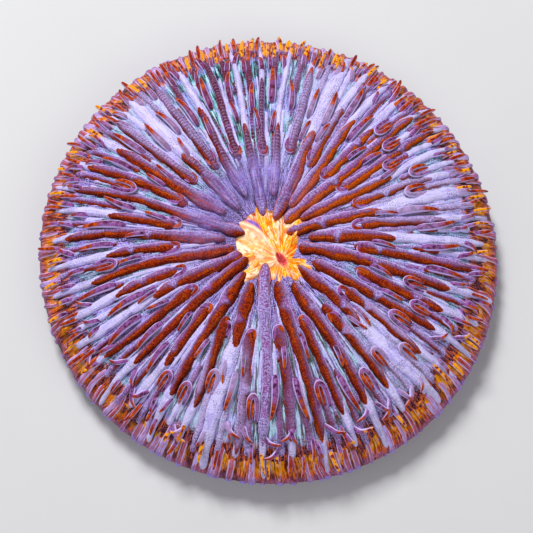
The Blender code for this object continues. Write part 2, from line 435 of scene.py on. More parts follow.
def bodyPaint():
    paint = Paint("furrowSkin")
    _, lumps, height = fineSkin(paint)
    lines, bands, patch = streaks(paint, 3.2, 0.8), streaks(paint, 7.0, 2.6), paint.noise(5.0)
    share, under, costa = paint.values("share", "under", "costa")
    green, white, olive, film = paint.values("green", "white", "olive", "film")
    mottle = paint.lay("paleMauve", "teal", patch, 0.42, 0.6, 0.8)
    mottle = paint.lay(mottle, "mauve", lumps, 0.46, 0.6, 0.35)
    mottle = speckled(paint, mottle, 0.5)
    mottle = paint.lay(mottle, "ink", lines, 0.53, 0.58, 0.85)
    mottle = paint.lay(mottle, "pale", lines, 0.46, 0.38, 0.6)
    mottle = paint.lay(mottle, "mauveDeep", bands, 0.55, 0.62, 0.45)
    greens = paint.lay("ice", "teal", bands + (lines - 0.5) * 0.4, 0.4, 0.48)
    greens = paint.lay(greens, "green", bands + (lines - 0.5) * 0.6, 0.48, 0.53)
    greens = paint.lay(greens, "ink", bands + (lines - 0.5) * 0.8, 0.56, 0.61)
    greens = paint.lay(greens, "paleMauve", patch + (lumps - 0.5) * 0.4, 0.5, 0.4, 0.5)
    mottle = paint.mix(green * 0.9, mottle, greens)
    salt = paint.noise(0.25, 1.0)
    mottle = paint.mix(white * 0.5, mottle, "pale")
    mottle = paint.lay(mottle, "pale", salt, 0.56, 0.62, 0.5 - green * 0.4)
    mottle = paint.lay(mottle, "mauveDeep", salt, 0.44, 0.38, 0.45)
    shaded = paint.lay(greens, "olive", bands + (lines - 0.5) * 0.5, 0.42, 0.52)
    mottle = paint.mix(olive * 0.7, mottle, shaded)
    inner = paint.lay("paleMauve", "mauveDeep", lines, 0.44, 0.54)
    inner = paint.lay(inner, "ink", lines, 0.56, 0.64)
    inner = paint.lay(inner, "lightEdge", lines, 0.42, 0.36, 0.6)
    inner = speckled(paint, inner, 0.4)
    inner = paint.lay(inner, "pale", salt, 0.56, 0.62, 0.5)
    inner = paint.mix(film * 0.5, inner, "film")
    mottle = paint.lay(mottle, inner, share, 0.42, 0.26)
    rim = paint.rise(share + (lumps - 0.5) * 0.08, 0.83, 0.87)
    fringe = paint.lay("orange", "rustDeep", lines, 0.4, 0.5)
    mottle = paint.mix(rim, mottle, paint.lay(fringe, "rose", salt, 0.5, 0.6, 0.5))
    stone = paint.lay("bone", "boneDark", lumps, 0.35, 0.65)
    stone = paint.mix(costa * 0.6, "boneDark", stone)
    stone = paint.lay(stone, "rustDeep", share, 1.16, 1.04)
    colour = paint.mix(under, mottle, stone)
    normal = paint.bump(height, 0.3, 0.9)
    return paint.finish(colour, 0.5 + under * 0.3, normal, coat=0.08 * (1 - under), glow=0.05)


def tentaclePaint():
    paint = Paint("tentacleSkin")
    grain, lumps, height = fineSkin(paint)
    tip, crest, tint, share = paint.values("tip", "crest", "tint", "share")
    white, film, green = paint.values("white", "film", "green")
    mauve = paint.lay("mauve", "mauveDeep", lumps, 0.42, 0.66)
    mauve = speckled(paint, mauve, 0.6)
    # painted highlight: the sides of each tube are lightened, on the mauve skin and on the red tip
    flank = paint.fall(crest, 0.56, 0.78) * paint.rise(crest, -0.1, 0.1)
    mauve = paint.mix(flank * 0.9, mauve, "lightEdge")
    mauve = paint.mix(white * 0.35, mauve, "pale")
    red = paint.lay("rustMid", "rust", grain, 0.4, 0.65)
    red = paint.lay(red, "orange", lumps, 0.46, 0.66, 0.6)
    edge = paint.rise(tip + (lumps - 0.5) * 0.3 - flank * 0.12, 0.5, 0.72)
    mauve = paint.mix(green * 0.5 * (1 - flank), mauve, "maroon")
    golden = paint.rise(tint, 0.6, 0.64) * paint.rise(share, 0.83, 0.85)
    red = paint.mix(golden * paint.rise(lumps, 0.4, 0.5), red, "gold")
    red = paint.mix(flank * 0.5, red, "lightEdge")
    colour = paint.mix(edge, mauve, red)
    colour = paint.mix(film * 0.5, colour, "film")
    # painted shade: the underside of each tube turns to ink
    colour = paint.lay(colour, "ink", crest, 0.0, -0.4)
    normal = paint.bump(height, 0.12, 0.8)
    return paint.finish(colour, 0.42, normal, coat=0.15, glow=0.1)


def rimPaint():
    paint = Paint("rimSkin")
    grain, lumps, height = fineSkin(paint)
    fine, hair, dark = streaks(paint, 2.4, 0.6), streaks(paint, 2.0, 0.3), streaks(paint, 3.0, 0.36)
    share, gold, ridge, kind = paint.values("share", "gold", "ridge", "kind")
    band = share + (lumps - 0.5) * 0.05
    hot = paint.lay("gold", "orange", fine, 0.46, 0.62)
    hot = paint.lay(hot, "rust", lumps, 0.5, 0.7, 0.6)
    plain = paint.lay("orange", "rustMid", fine, 0.44, 0.6)
    colour = paint.mix(gold, plain, hot)
    colour = paint.lay(colour, "lightEdge", hair, 0.58, 0.66, 0.5)
    colour = paint.lay(colour, "rustDeep", dark, 0.55, 0.62, 0.8)
    lilacs = paint.lay("mauveLight", "rose", hair, 0.42, 0.58)
    reds = paint.lay("rust", "rose", hair, 0.4, 0.6)
    lilacs = paint.lay(lilacs, reds, kind, 0.55, 0.6)
    # painted highlight: the sides of each rim ridge are lightened
    flank = paint.sum("ABSOLUTE", paint.value("side"))
    lilacs = paint.lay(lilacs, "lightEdge", flank, 0.55, 0.7, 0.8)
    colour = paint.lay(colour, lilacs, ridge, 0.2, 0.4, paint.rise(kind, 0.2, 0.24))
    edge = paint.lay("rustDeep", "mauve", grain, 0.36, 0.52)
    colour = paint.lay(colour, edge, band, 0.965, 1.0, 0.75)
    # lavender-blue beads on the ridge crests at the very edge: partly the edge's own tone, partly a painted
    # highlight
    bead = paint.rise(band, 0.985, 1.0) * paint.fall(band, 1.04, 1.08)
    colour = paint.mix(bead * paint.rise(ridge, 0.5, 0.8) * 0.9, colour, "beadBlue")
    # painted shade: the rim's low hollows, away from the ridges, darken to deep rust
    colour = paint.lay(colour, "rustDeep", paint.value("crest"), 0.5, 0.15, 0.8)
    normal = paint.bump(height + 0.5 * hair, 0.2, 0.9)
    return paint.finish(colour, 0.45, normal, coat=0.12, glow=0.12)


def mouthPaint():
    paint = Paint("mouthSkin")
    _, lumps, height = fineSkin(paint)
    fold, heat, slit = paint.values("fold", "heat", "slit")
    folds, blush = streaks(paint, 3.0, 0.3), paint.noise(2.6)
    veins = streaks(paint, 1.1, 0.16)
    colour = paint.lay("yellow", "amber", folds + (lumps - 0.5) * 0.6, 0.42, 0.6)
    washed = fold + (blush - 0.5) * 1.6 + (veins - 0.5)
    colour = paint.lay(colour, "cream", washed, 0.3, 0.6, 0.9)
    colour = paint.lay(colour, "orange", veins, 0.54, 0.6, 0.9)
    colour = paint.lay(colour, "rust", veins, 0.62, 0.68, heat)
    colour = paint.lay(colour, "cream", veins, 0.44, 0.36, 0.8)
    clouds = blush + (folds - 0.5) * 0.25 + (lumps - 0.5) * 0.5
    peach = paint.lay("peach", "cream", clouds, 0.42, 0.6)
    peach = paint.lay(peach, "amber", lumps, 0.56, 0.66, 0.5)
    colour = paint.mix(paint.value("peach"), colour, peach)
    colour = paint.lay(colour, "orange", folds, 0.5, 0.66, heat)
    # painted shade in lilac beside the long fold
    colour = paint.mix(paint.value("paintedShadeLilac"), colour, "paintedShadeLilac")
    # the long fold's crest is cream: partly pale tissue, partly a painted highlight
    colour = paint.mix(paint.value("ridge") * 0.8, colour, "cream")
    ridged = paint.lay("pink", "rust", folds, 0.4, 0.6)
    colour = paint.lay(colour, ridged, slit, 0.12, 0.4)
    normal = paint.bump(height + 0.4 * folds, 0.15, 0.8)
    return paint.finish(colour, 0.36, normal, coat=0.3, glow=0.3)


# Furrow floor, rim and underside: the disc that everything grows from
body = {
    "columns": 720, "rows": 104, "footRows": 9, "innerShare": 0.13, "grain": 0.4, "bed": 0.42,
    "costaCount": 144, "costaHeight": 0.35, "spineHeight": 0.5,
}


def makeBody():
    skin = Skin()
    bearing = ribBearings()[0] + circle(body["columns"], 360.0)[None, :]
    run = np.linspace(runAt(body["innerShare"]), footRun, body["rows"])[:, None]
    place, _, _, normal = onDisc(run, bearing)
    share = shareAt(run)
    under = rise(1.03, 1.07, share)
    costa = 0.5 + 0.5 * np.cos(np.radians(bearing) * body["costaCount"])
    fadeToFoot = fall(footRun - 4.0, footRun - 0.5, run)
    lumps = latticeNoise(place, 0.9, 3) - 0.5
    lumps -= 0.7 * np.exp(-((share - 0.99) / 0.06) ** 2)
    lift = body["grain"] * lumps * (1 - under)
    lift += under * body["costaHeight"] * (costa - 0.6) * fadeToFoot
    lift += body["bed"] * rise(0.16, 0.26, share) * fall(0.84, 0.94, share)
    spines = np.clip(latticeNoise(place, 0.8, 9) - 0.55, 0, 1) * costa
    spines = body["spineHeight"] * spines * under * fadeToFoot
    place += normal * (lift + spines)[..., None]
    place[..., 2] = np.maximum(place[..., 2], 0.0)
    values = {"share": share, "under": under, "costa": costa, "along": run, "across": bearing * 1.6,
              "tint": 0.3, **regions(bearing, share)}
    skin.add(place, values)
    # the foot: a flat scar, closed to its middle
    inward = np.linspace(1.0, 0.02, body["footRows"])[:, None]
    foot = np.stack([place[-1, :, 0] * inward, place[-1, :, 1] * inward, 0 * inward + 0 * bearing], -1)
    skin.add(foot, {**{key: 0.0 for key in values}, "under": 1.0, "costa": 0.5, "share": 1.3})
    skin.faces.append(list(range(skin.count - body["columns"], skin.count)))
    skin.make("coralBody", bodyPaint())


# Main, second and third ribs
ribs = {
    "width": 3.1, "secondWidth": 2.3, "thirdWidth": 1.5, "widthVaries": (0.9, 1.12), "packing": 0.95,
    "height": 1.45, "rimHeight": 0.82, "thirdHeight": 1.05, "step": 0.12, "grain": 0.17,
    "around": 18, "thirdAround": 12, "strandAround": 8, "spacing": 0.42, "rounding": 1.5, "strands": 230,
    # shares of the radius: where ribs start and end, and where they turn pale
    "reach": (0.085, 0.125), "shortReach": (0.165, 0.2), "secondShare": 0.37, "thirdShare": 0.64,
    "innerEnds": {28: 0.12, 26: 0.14, 34: 0.2, 36: 0.1, 38: 0.18, 46: 0.13},
    "endShare": (0.91, 0.985), "fullEnd": 0.983, "thirdEnd": (0.86, 0.94), "greenPaleFrom": 0.95,
    "paleFrom": (0.48, 0.54, 0.6, 0.7, 0.8), "secondPaleFrom": (0.62, 0.7, 0.78, 0.84),
    "widePaleFrom": (0.40, 0.48), "shadedPaleFrom": 0.72,
    # bearings: the mouth's long corners, and the lower right, where ribs stay red for longer
    "corners": ((135.0, 10.0), (315.0, 14.0)), "shaded": (285, 348),
}


def ribSection(around):
    # a round-shouldered ridge, as shares of half its width and of its height, its foot sunk in the disc
    turn = np.radians(np.linspace(-14.0, 194.0, around - 2))
    x = np.sign(np.cos(turn)) * np.abs(np.cos(turn)) ** 0.8
    z = np.sign(np.sin(turn)) * np.abs(np.sin(turn)) ** 1.1
    return np.concatenate([x, [-0.8, 0.8]]), np.concatenate([z, [-0.7, -0.7]])


def addRidge(skin, section, run, bearing, width, height, values):
    # a ridge along the disc with rounded ends; its own coordinates go along and across it
    sectionX, sectionZ = section
    place, _, sideways, normal = onDisc(run, bearing)
    points = (place[:, None] + sideways[:, None] * (0.5 * width[:, None] * sectionX)[..., None]
              + normal[:, None] * (height[:, None] * sectionZ)[..., None])
    points += normal[:, None] * (ribs["grain"] * (latticeNoise(points, 0.7, 5) - 1.0))[..., None]
    given = {key: value[:, None] if np.ndim(value) == 1 else value for key, value in values.items()}
    local = {key: value[:, None] for key, value in regions(bearing, shareAt(run)).items()}
    own = {"along": run[:, None], "across": sectionX[None, :], "crest": sectionZ[None, :],
           "share": shareAt(run)[:, None], "tint": chance.random()}
    skin.add(points, {**own, **local, **given}, caps=True)


def ribRows(start, end, spacing, rounding):
    # distances along a rib, closer together at its round ends
    turn = np.linspace(0.12, math.pi / 2, 7)
    inner = start + rounding * (1 - np.cos(turn))
    outer = end - rounding * (1 - np.cos(turn))
    middle = np.linspace(inner[-1], outer[-1], max(3, int((outer[-1] - inner[-1]) / spacing)))
    return np.concatenate([inner, middle[1:-1], outer[::-1]])


def endRound(run, start, end, rounding):
    # 0 at the ends of a rib and 1 past its roundings, like the side of a circle
    near = np.clip((np.minimum(run - start, end - run) + 0.01) / rounding, 0.0, 1.0)
    return np.sqrt(np.clip(1.0 - (1.0 - near) ** 2, 0.0, 1.0))


def wander(bearing, share, phase):
    # ribs bend a little together near the mouth, and each on its own further out
    shared = 2.6 * (1.0 - share) ** 2 * np.sin(np.radians(2.0 * bearing) + 7.0 * share)
    own = 0.55 * np.sin(9.0 * share + phase)
    return shared + own


def makeRibs():
    bearings = ribBearings()
    section = ribSection(ribs["around"])
    material = ribPaint()
    for order, name in ((0, "coralMainRibs"), (1, "coralSecondRibs")):
        skin = Skin()
        for number in range(order, disc["ribCount"], 2):
            own = bearings[number]
            wide = number in disc["wideRibs"]
            if order == 1:
                first = ribs["secondShare"] + chance.uniform(-0.015, 0.03)
            else:  # every other main rib reaches in over the mouth, least at its long corners
                first = chance.uniform(*ribs["reach" if number % 4 else "shortReach"])
                first = ribs["innerEnds"].get(number, first)
                first += 0.07 * sum(bell(own, *corner) for corner in ribs["corners"])
            last = chance.uniform(*ribs["endShare"]) - 0.02 * order + 0.02 * bell(own, 95.0, 35.0)
            last += (ribs["fullEnd"] - last) * 0.9 * bell(own, 275.0, 34.0) * (order == 0)
            start, end = runAt(first), runAt(last)
            run = ribRows(start, end, ribs["spacing"], ribs["rounding"])
            share = shareAt(run)
            phase = chance.uniform(0.0, 6.28)
            bearing = own + wander(own, share, phase)
            paleFrom = chance.uniform(*ribs["widePaleFrom"]) if wide else chance.choice(ribs["paleFrom"])
            if order == 1:
                paleFrom = chance.choice(ribs["secondPaleFrom"])
            if abs(apart(own, 98.0)) < 28 and chance.random() < 0.6:
                paleFrom = ribs["greenPaleFrom"]
            if ribs["shaded"][0] < own < ribs["shaded"][1] and not wide:
                paleFrom = max(paleFrom, ribs["shadedPaleFrom"])
            room = 2 * math.pi * disc["radius"] * share / (disc["ribCount"] / 2)
            if first < 0.16:
                room *= 1 + 0.85 * fall(0.15, 0.2, share)
            full = ribs["width"] if order == 0 else ribs["secondWidth"]
            full *= chance.uniform(*ribs["widthVaries"]) * (1 - 0.34 * bell(own, 98.0, 18.0))
            if wide:
                full *= 1 + (disc["wideFactor"] - 1) * rise(0.42, 0.52, share)
            width = np.minimum(full, ribs["packing"] * room)
            width *= 1 - 0.24 * rise(0.28, 0.46, share) * (order == 0)
            # narrower and lower where it turns pale
            step = rise(paleFrom - 0.01, paleFrom + 0.01, share)
            width *= (1 - 0.08 * step * (not wide)) * (1 - 0.45 * rise(0.76, 0.95, share))
            if order == 1:  # a swollen lobe at its inner end
                swollen = width * (1 + 0.3 * fall(first + 0.03, first + 0.1, share))
                width = np.minimum(swollen, 0.55 * room)
            width *= 1 + 0.09 * np.sin(1.1 * run + phase) + 0.03 * np.sin(3.3 * run - phase)
            if order == 0:  # its inner end is slender
                width *= 0.8 + 0.2 * rise(0.0, 4.0, run - start)
            height = ribs["height"] + (ribs["rimHeight"] - ribs["height"]) * rise(0.8, 0.95, share)
            height = height - ribs["step"] * step * fall(0.8, 0.95, share) - 0.1 * (order == 1)
            ends = endRound(run, start, end, ribs["rounding"])
            lean = -math.cos(math.radians(own))  # the red lies on the side that faces bearing 270
            lean /= max(abs(lean), 0.45)
            side = (section[0] * lean + 0.3 * abs(lean) + 0.35 * bell(own, 268.0, 26.0))[None, :]
            beyond = share[:, None] - paleFrom - 0.045 * side - 0.03 * (1 - 2 * section[0][None, :] ** 2)
            pale = rise(-0.01, 0.01, beyond)
            tips = rise(-0.045, -0.01, beyond) * (1 - pale) * chance.choice((0.2, 0.9, 1.0))
            tips = np.maximum(tips, 0.8 * np.exp(-((run - start) / 0.9) ** 2)[:, None] * (order == 0))
            rust = fall(0.84, 0.92, share) * (1 - 0.55 * bell(own, 100.0, 26.0))
            rust *= chance.uniform(0.75, 1.0)
            rust *= 1 - 0.3 * rise(0.55, 0.75, share) * (1 - bell(own, 320.0, 24.0))
            rust *= 1 - 0.8 * bell(own, 269.0, 5.0)
            rust *= 0.86 + 0.14 * rise(0.24, 0.36, share)
            pinch = first + chance.uniform(0.1, 0.34)  # a gap in the red
            rust *= 1 - chance.choice((0.0, 0.5, 0.9)) * np.exp(-((share - pinch) / 0.014) ** 2)
            pale *= (1 - 0.25 * rise(0.86, 0.95, share))[:, None]
            values = {"pale": pale, "side": side, "rustAmount": rust, "lobe": tips}
            addRidge(skin, section, run, bearing, width * ends, height * (0.2 + 0.8 * ends), values)
        skin.make(name, material)
    makeThirdRibs(bearings, material)


def makeThirdRibs(bearings, material):
    skin = Skin()
    section, strandSection = ribSection(ribs["thirdAround"]), ribSection(ribs["strandAround"])
    for number in range(disc["ribCount"]):
        gap = (bearings[(number + 1) % disc["ribCount"]] - bearings[number]) % 360.0
        start = runAt(ribs["thirdShare"] + chance.uniform(-0.06, 0.04))
        end = runAt(chance.uniform(*ribs["thirdEnd"]))
        run = ribRows(start, end, ribs["spacing"], 1.0)
        share = shareAt(run)
        phase = chance.uniform(0.0, 6.28)
        bearing = bearings[number] + gap * chance.uniform(0.45, 0.55) + 0.5 * np.sin(8 * share + phase)
        width = ribs["thirdWidth"] * (1 - 0.3 * rise(0.85, 0.97, share))
        width *= 1 + 0.12 * np.sin(2.3 * run + phase)
        ends = endRound(run, start, end, 1.0)
        lean = -math.cos(math.radians(bearings[number]))
        height = ribs["thirdHeight"] * (0.2 + 0.8 * ends) * (1 - 0.35 * rise(0.85, 0.97, share))
        pale = chance.choice((0.0, 0.0, 0.8)) * rise(0.7, 0.72, share)
        values = {"pale": pale, "side": (section[0] * lean)[None, :], "lobe": 0.0,
                  "rustAmount": 0.8 * fall(0.8, 0.9, share)}
        addRidge(skin, section, run, bearing, width * ends, height, values)
    for number in range(ribs["strands"]):  # thin strands that lie in the furrows
        own = (number + chance.uniform(-0.5, 0.5)) * 360.0 / ribs["strands"]
        first = chance.uniform(0.2, 0.56)
        start, end = runAt(first), runAt(min(0.9, first + chance.uniform(0.18, 0.42)))
        run = ribRows(start, end, 0.5, 0.6)
        share = shareAt(run)
        bearing = own + chance.uniform(0.4, 1.3) * np.sin(chance.uniform(5, 9) * share + number)
        ends = endRound(run, start, end, 1.0)
        width = chance.uniform(0.5, 1.0) * ends
        values = {"pale": float(chance.random() < 0.6), "side": 0.0, "rustAmount": 0.3 * chance.random(),
                  "lobe": rise(end - 1.6, end - 0.6, run) * float(chance.random() < 0.5)}
        addRidge(skin, strandSection, run, bearing, width, chance.uniform(0.55, 0.95) * ends, values)
    skin.make("coralThirdRibs", material)


# Tentacles: tubes that follow a short path given as outward, sideways and upward millimetres
fingers = {
    "radius": 0.78, "around": 12, "innerShare": 0.66, "outerShare": 0.84, "lyingShare": (0.44, 0.56),
    "rimShare": (0.83, 0.915), "shoulderCount": 90, "rimCount": 210, "lyingCount": 30,
}


def tube(line, side, over, girth, turn):
    # rings of points round a line
    ring = side[:, None] * np.cos(turn)[None, :, None] + over[:, None] * np.sin(turn)[None, :, None]
    return line[:, None] + ring * girth[:, None, None]


def addFinger(skin, bearing, share, path, fat, girths, mirrored=False, red=0.0):
    # girths are shares of fat from root to tip, and red moves the start of the red tip inwards
    path = np.array(path, float)
    if mirrored:
        path[:, 1] *= -1
    line = curveThrough(path, 5)
    ends = np.linspace(0, 1, len(line))
    girth = np.interp(ends, np.linspace(0, 1, len(girths)), fat * np.array(girths))
    girth *= np.sqrt(np.clip(1 - np.clip((ends - 0.86) / 0.14, 0, 1) ** 2, 0.02, 1))
    run = runAt(share) + line[:, 0]
    sideAngle = np.degrees(line[:, 1] / (share * disc["radius"]))
    place, _, _, normal = onDisc(run, bearing + sideAngle)
    middle = place + normal * line[:, 2:3]
    tangent = np.gradient(middle, axis=0)
    tangent /= np.linalg.norm(tangent, axis=1, keepdims=True)
    side = np.cross(tangent, normal)
    side /= np.linalg.norm(side, axis=1, keepdims=True)
    over = np.cross(side, tangent)
    turn = circle(fingers["around"])
    points = tube(middle, side, over, girth, turn)
    values = {"tip": ends[:, None] + red, "crest": np.sin(turn)[None, :], "share": share,
              "along": line[:, :1], "across": np.cos(turn)[None, :], "tint": chance.random(),
              **regions(bearing, share)}
    skin.add(points, values, caps=True)


def makeTentacles():
    skin = Skin()
    bearings = ribBearings()
    hook = np.array([(4.4, -0.7, 0.4), (2.2, -0.85, 1.0), (0.4, -0.7, 1.5), (-0.4, 0.0, 1.7),
                     (0.3, 0.7, 1.75), (2.0, 0.8, 1.6), (4.0, 0.6, 1.2)])
    for number in range(disc["ribCount"]):
        after = bearings[(number + 1) % disc["ribCount"]]
        middle = bearings[number] + 0.5 * ((after - bearings[number]) % 360.0)
        share = fingers["innerShare"] + chance.uniform(-0.07, 0.04)
        flip = chance.random() < 0.5
        size = chance.uniform(0.85, 1.15)
        fat = fingers["radius"] * size
        curled = 0.8 if 285 < middle < 345 else 0.0 if 50 < middle < 150 else 0.4
        if chance.random() < curled:  # bent over like a hook, its tip outwards
            addFinger(skin, middle, share, hook * (size, 1, 1), fat,
                      (0.5, 0.6, 0.64, 0.66, 0.64, 0.6, 0.4), flip)
            addFinger(skin, middle, share, [(0.2, 0.0, 0.7), (2.2, 0.0, 1.15), (4.6, 0.1, 0.9)],
                      1.0, (0.36, 0.4, 0.2), flip, 0.6)
        else:  # a tapered finger
            bend = chance.uniform(-0.8, 0.8)
            path = [(-1.6, 0.0, 0.4), (-0.5, 0.0, 1.2), (1.6, 0.2 * bend, 1.5), (4.0, 0.8 * bend, 1.55),
                    (6.4, 1.6 * bend, 1.3)]
            addFinger(skin, middle, share, np.array(path) * (size, 1, 1), fat,
                      (0.7, 1.0, 0.95, 0.7, 0.36), flip)
    for number in range(fingers["shoulderCount"]):  # thinner ones that lie across the shoulder
        middle = number * 360.0 / fingers["shoulderCount"] + chance.uniform(-1.6, 1.6)
        share = fingers["outerShare"] + chance.uniform(-0.06, 0.04)
        across = chance.uniform(0.3, 2.8) if 200 < middle < 345 else chance.uniform(-0.6, 1.4)
        out = math.sqrt(max(0.4, chance.uniform(6.0, 11.0) - across ** 2))
        path = [(-0.7, 0.0, 0.3), (0.1, 0.3 * across, 1.0), (0.55 * out, 0.7 * across, 1.35),
                (out, 1.4 * across, 1.15)]
        fat = fingers["radius"] * chance.uniform(0.62, 0.85)
        addFinger(skin, middle, share, path, fat, (0.8, 1.05, 0.85, 0.4), chance.random() < 0.5)
    for number in range(fingers["rimCount"]):  # small tips that lean out over the rim
        middle = (number + chance.uniform(-0.4, 0.4)) * 360.0 / fingers["rimCount"]
        kept = 1.0 if 15 < middle < 150 else 0.6 if 150 <= middle < 215 else 0.35
        if chance.random() > kept:
            continue
        share = chance.uniform(*fingers["rimShare"])
        out, bend = chance.uniform(2.8, 4.6), chance.uniform(-0.9, 0.9)
        path = [(-0.8, 0.0, 0.1), (0.3, 0.1 * bend, 0.8), (0.55 * out, 0.5 * bend, 0.8 + 0.2 * out),
                (0.9 * out, bend, 0.6 + 0.36 * out)]
        fat = chance.uniform(0.42, 0.6)
        addFinger(skin, middle, share, path, fat, (0.8, 1.0, 0.85, 0.5), False,
                  chance.choice((0.15, 0.4, 0.5)))
    for number in range(1, disc["ribCount"], 2):  # a hood on the inner end of each second rib
        share = ribs["secondShare"] + chance.uniform(-0.01, 0.04)
        fat = fingers["radius"] * chance.uniform(0.8, 1.0)
        path = [(2.6, -0.75, 0.2), (1.0, -0.85, 0.6), (-0.1, -0.4, 0.7), (-0.1, 0.45, 0.7), (1.6, 0.8, 0.6)]
        addFinger(skin, bearings[number], share, path, fat, (0.7, 0.8, 0.8, 0.75, 0.5),
                  chance.random() < 0.5)
    for number in range(fingers["lyingCount"]):  # slender ones that lie on the inner ribs
        middle = number * 360.0 / fingers["lyingCount"] + chance.uniform(-5.0, 5.0)
        bend = chance.uniform(-0.9, 0.9)
        path = [(-0.6, 0.0, 0.7), (0.4, 0.2 * bend, 1.45), (2.2, 0.6 * bend, 1.5), (4.0, 1.2 * bend, 1.25)]
        fat = fingers["radius"] * chance.uniform(0.6, 0.75)
        addFinger(skin, middle, chance.uniform(*fingers["lyingShare"]), path, fat, (0.8, 1.0, 0.85, 0.55))
    skin.make("coralTentacles", tentaclePaint())


# Rim: ridges that run down over the edge, with gold and rust between them
rim = {
    "columns": 1240, "rows": 56, "innerShare": 0.83, "past": 3.4, "ridges": 120, "startsWithin": 6.5,
    "ridgeWidth": (0.6, 1.7), "ridgeHeight": 0.5, "beadHeight": 0.2, "broadHeight": 0.5, "fineHeight": 0.34,
}


def makeRim():
    skin = Skin()
    bearing = circle(rim["columns"], 360.0)[None, :]
    run = np.linspace(runAt(rim["innerShare"]), rimRun + rim["past"], rim["rows"])[:, None]
    share = shareAt(run)
    bent = bearing + 2.0 * (stretched(run, bearing, 6.0, 6.0, 11) - 0.5)
    middles = np.array([k + chance.uniform(-0.35, 0.35) for k in range(rim["ridges"])])
    middles = middles * 360.0 / rim["ridges"]
    widths = np.array([chance.uniform(*rim["ridgeWidth"]) for _ in middles])
    kinds = np.array([chance.random() for _ in middles])
    starts = np.array([chance.uniform(0.0, rim["startsWithin"]) for _ in middles])
    nearest = np.abs(apart(bent[..., None], middles)).argmin(-1)
    gone = np.radians(apart(bent, middles[nearest])) * disc["radius"]
    across = gone / (0.5 * widths[nearest])
    began = rise(0.0, 1.0, run - run[0] - starts[nearest])
    ridge = np.sqrt(np.clip(1 - across ** 2, 0, 1)) * began
    broad, fine = stretched(run, bent, 3.0, 1.6, 12), stretched(run, bent, 2.2, 0.45, 13)
    atEdge = np.exp(-((run - rimRun - 0.2) / 1.3) ** 2)
    inner = (run - run[0]) / np.ptp(run) - 0.3 * stretched(run, bent, 5.0, 1.6, 17)
    edges = rise(-0.05, 0.1, inner) * rise(0.0, 0.08, (run[-1] - run) / np.ptp(run))
    lift = rim["ridgeHeight"] * ridge + rim["broadHeight"] * (broad - 0.5)
    lift += rim["fineHeight"] * (fine - 0.5) * (1 - 0.6 * ridge)
    lift = lift * (1 - 0.6 * atEdge) + rim["beadHeight"] * atEdge * (ridge - 0.6)
    lift = lift * edges - 0.5 * (1 - edges)
    place, _, _, normal = onDisc(run, bearing)
    values = {
        "share": share, "ridge": ridge, "kind": kinds[nearest], "side": across,
        "crest": broad + 0.6 * ridge,
        "gold": rise(0.2, 0.34, stretched(run, bent, 6.0, 5.0, 14)) * fall(0.94, 0.975, share),
        "along": run, "across": bent * 1.43, "tint": 0.5, **regions(bearing, share),
    }
    skin.add(place + normal * lift[..., None], values)
    skin.make("coralRim", rimPaint())


# Mouth: folded lips round a slit
mouth = {
    "columns": 220, "rows": 64, "tongueAround": 14, "radius": 10.0, "floorHeight": 0.905,
    "slit": (3.1, -4.2), "slitTurn": 122.0,
    # the long fold from its outer end to the slit, and how far the sheet spreads out at some bearings
    "ridge": [(-8.4, 4.8), (-5.2, 3.5), (-2.5, 2.3), (-0.2, 0.2), (1.3, -2.2), (2.3, -5.2)],
    "spread": [(318.0, 12.0, 0.3), (284.0, 6.0, 0.12), (238.0, 7.0, 0.2), (38.0, 7.0, 0.15)],
    # start, middle and tip of each tongue, and its half width
    "tongues": [
        ((0.4, 1.6), (-0.9, 4.8), (-1.1, 9.0), 1.25),
        ((1.6, -4.6), (1.4, -6.8), (1.3, -9.0), 0.7),
        ((-2.5, -3.0), (-5.0, -4.0), (-7.4, -5.6), 0.5),
        ((-1.8, -4.4), (-3.4, -6.4), (-4.4, -8.6), 0.6),
        ((4.0, -5.2), (5.6, -7.8), (7.2, -10.4), 0.5),
        ((4.6, -3.8), (7.0, -5.6), (9.2, -7.6), 0.45),
        ((3.4, 2.2), (5.2, 3.0), (7.4, 3.6), 0.6),
    ],
}


def nearPath(x, y, path):
    # distance from each point to a path, and how far along the path it is nearest
    best, when = np.full(np.shape(x), 1e9), np.zeros(np.shape(x))
    for number, ((ax, ay), (bx, by)) in enumerate(zip(path[:-1], path[1:])):
        dx, dy = bx - ax, by - ay
        t = np.clip(((x - ax) * dx + (y - ay) * dy) / (dx * dx + dy * dy), 0.0, 1.0)
        gone = np.hypot(x - ax - t * dx, y - ay - t * dy)
        when = np.where(gone < best, number + t, when)
        best = np.minimum(best, gone)
    return best, when


